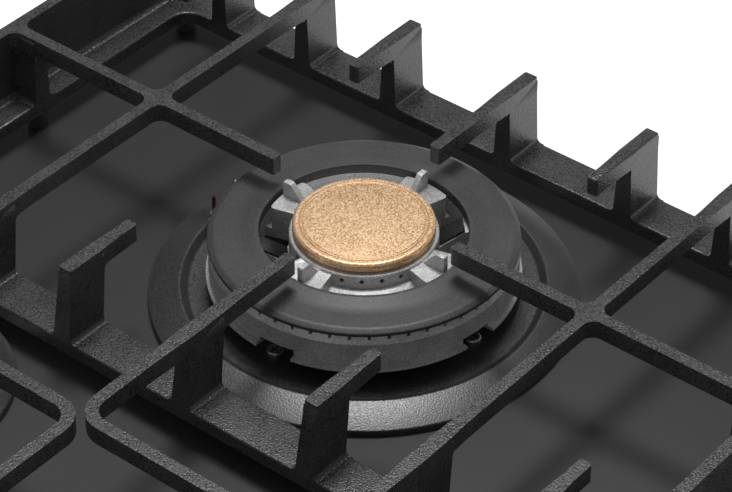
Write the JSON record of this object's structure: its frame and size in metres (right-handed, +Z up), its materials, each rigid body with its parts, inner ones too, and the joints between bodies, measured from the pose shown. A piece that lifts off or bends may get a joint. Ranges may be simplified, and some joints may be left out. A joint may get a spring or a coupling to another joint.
{
  "type": "built-in gas cooktop",
  "caption": "Built-in gas cooktop: dark glass plate, iron pan supports, capped burners in a diamond, front row of push-and-turn knobs over a shallow steel box.",
  "frame": {"origin": "middle of the under-box's bottom face, below the middle of the glass plate", "axes": "+X to the right along the plate's long side, +Y to the back, +Z up"},
  "size_m": [0.59, 0.51, 0.1035],
  "materials": {
    "plate_glass": "satin, opaque, printed dark grey",
    "enamelled_iron": "matte grained enamel",
    "ring_enamel": "coarse satin enamel",
    "cap_enamel": "fine matte enamel",
    "head_aluminium": "satin, blasted",
    "cup_aluminium": "as cast",
    "cap_brass": "fine blasted, light copper gold",
    "fitting_brass": "turned",
    "screw_steel": "plain",
    "strip_steel": "smooth, heat darkened",
    "electrode_steel": "heat tinted",
    "pipe_steel": "drawn",
    "zinc_steel": "zinc coated sheet",
    "tap_alloy": "die cast",
    "plug_ceramic": "dark glazed ceramic",
    "thermocouple_copper": "copper, satin",
    "black_rubber": "matte",
    "knob_plastic": "satin black",
    "housing_plastic": "white moulded",
    "lead_silicone": "silicone sheath"
  },
  "bodies": {
    "cooktop": {"glass_plate": "plate_glass", "under_box": "zinc_steel", "rail_brackets": "zinc_steel", "worktop_clamps": "zinc_steel", "edge_gasket": "black_rubber", "knob_seals": "black_rubber", "cable_grommet": "black_rubber", "big_drip_ring": "ring_enamel", "left_drip_ring": "ring_enamel", "back_drip_ring": "ring_enamel", "front_drip_ring": "ring_enamel", "big_cup": "cup_aluminium", "left_cup": "cup_aluminium", "back_cup": "cup_aluminium", "front_cup": "cup_aluminium", "injectors": "fitting_brass", "inlet_elbow": "fitting_brass", "pipe_nuts": "fitting_brass", "burner_screws": "screw_steel", "clamp_screws": "screw_steel", "spark_plugs": "plug_ceramic", "spark_electrodes": "electrode_steel", "thermocouples": "thermocouple_copper", "thermocouple_leads": "thermocouple_copper", "tap_1": "tap_alloy", "tap_2": "tap_alloy", "tap_3": "tap_alloy", "tap_4": "tap_alloy", "gas_rail": "pipe_steel", "burner_pipes": "pipe_steel", "inlet_pipe": "pipe_steel", "spark_generator": "housing_plastic", "mains_terminal": "housing_plastic", "ignition_leads": "lead_silicone"},
    "tap_plug_1": {"tap_plug_1": "fitting_brass"},
    "knob_1": {"knob_1": "knob_plastic", "stem_1": "screw_steel"},
    "tap_plug_2": {"tap_plug_2": "fitting_brass"},
    "knob_2": {"knob_2": "knob_plastic", "stem_2": "screw_steel"},
    "tap_plug_3": {"tap_plug_3": "fitting_brass"},
    "knob_3": {"knob_3": "knob_plastic", "stem_3": "screw_steel"},
    "tap_plug_4": {"tap_plug_4": "fitting_brass"},
    "knob_4": {"knob_4": "knob_plastic", "stem_4": "screw_steel"},
    "right_grate": {"right_grate": "enamelled_iron", "right_grate_feet": "black_rubber"},
    "left_grate": {"left_grate": "enamelled_iron", "left_grate_feet": "black_rubber"},
    "big_head": {"big_head": "head_aluminium", "duct_covers": "strip_steel"},
    "big_ring_cap": {"big_ring_cap": "cap_enamel"},
    "big_brass_cap": {"big_brass_cap": "cap_brass"},
    "left_head": {"left_head": "head_aluminium"},
    "left_cap": {"left_cap": "cap_enamel"},
    "back_head": {"back_head": "head_aluminium"},
    "back_cap": {"back_cap": "cap_enamel"},
    "front_head": {"front_head": "head_aluminium"},
    "front_cap": {"front_cap": "cap_enamel"}
  },
  "joints": [
    {"name": "knob_1_turn", "type": "hinge", "parent": "cooktop", "child": "tap_plug_1", "pos_m": [-0.09, -0.212, 0.054], "axis": [0, 0, 1], "range_deg": [0, 210]},
    {"name": "knob_1_push", "type": "slide", "parent": "tap_plug_1", "child": "knob_1", "axis": [0, 0, -1], "range_m": [0, 0.003], "stiffness_N_per_m": 1000, "springref_m": -0.003},
    {"name": "knob_2_turn", "type": "hinge", "parent": "cooktop", "child": "tap_plug_2", "pos_m": [-0.03, -0.212, 0.054], "axis": [0, 0, 1], "range_deg": [0, 210]},
    {"name": "knob_2_push", "type": "slide", "parent": "tap_plug_2", "child": "knob_2", "axis": [0, 0, -1], "range_m": [0, 0.003], "stiffness_N_per_m": 1000, "springref_m": -0.003},
    {"name": "knob_3_turn", "type": "hinge", "parent": "cooktop", "child": "tap_plug_3", "pos_m": [0.03, -0.212, 0.054], "axis": [0, 0, 1], "range_deg": [0, 210]},
    {"name": "knob_3_push", "type": "slide", "parent": "tap_plug_3", "child": "knob_3", "axis": [0, 0, -1], "range_m": [0, 0.003], "stiffness_N_per_m": 1000, "springref_m": -0.003},
    {"name": "knob_4_turn", "type": "hinge", "parent": "cooktop", "child": "tap_plug_4", "pos_m": [0.09, -0.212, 0.054], "axis": [0, 0, 1], "range_deg": [0, 210]},
    {"name": "knob_4_push", "type": "slide", "parent": "tap_plug_4", "child": "knob_4", "axis": [0, 0, -1], "range_m": [0, 0.003], "stiffness_N_per_m": 1000, "springref_m": -0.003},
    {"name": "right_grate_lift", "type": "slide", "parent": "cooktop", "child": "right_grate", "axis": [0, 0, 1], "range_m": [0, 0.08]},
    {"name": "left_grate_lift", "type": "slide", "parent": "cooktop", "child": "left_grate", "axis": [0, 0, 1], "range_m": [0, 0.08]},
    {"name": "big_head_lift", "type": "slide", "parent": "cooktop", "child": "big_head", "axis": [0, 0, 1], "range_m": [0, 0.0025]},
    {"name": "big_ring_cap_lift", "type": "slide", "parent": "big_head", "child": "big_ring_cap", "axis": [0, 0, 1], "range_m": [0, 0.003]},
    {"name": "big_brass_cap_lift", "type": "slide", "parent": "big_head", "child": "big_brass_cap", "axis": [0, 0, 1], "range_m": [0, 0.06]},
    {"name": "left_head_lift", "type": "slide", "parent": "cooktop", "child": "left_head", "axis": [0, 0, 1], "range_m": [0, 0.05]},
    {"name": "left_cap_lift", "type": "slide", "parent": "left_head", "child": "left_cap", "axis": [0, 0, 1], "range_m": [0, 0.04]},
    {"name": "back_head_lift", "type": "slide", "parent": "cooktop", "child": "back_head", "axis": [0, 0, 1], "range_m": [0, 0.05]},
    {"name": "back_cap_lift", "type": "slide", "parent": "back_head", "child": "back_cap", "axis": [0, 0, 1], "range_m": [0, 0.04]},
    {"name": "front_head_lift", "type": "slide", "parent": "cooktop", "child": "front_head", "axis": [0, 0, 1], "range_m": [0, 0.05]},
    {"name": "front_cap_lift", "type": "slide", "parent": "front_head", "child": "front_cap", "axis": [0, 0, 1], "range_m": [0, 0.04]}
  ]
}
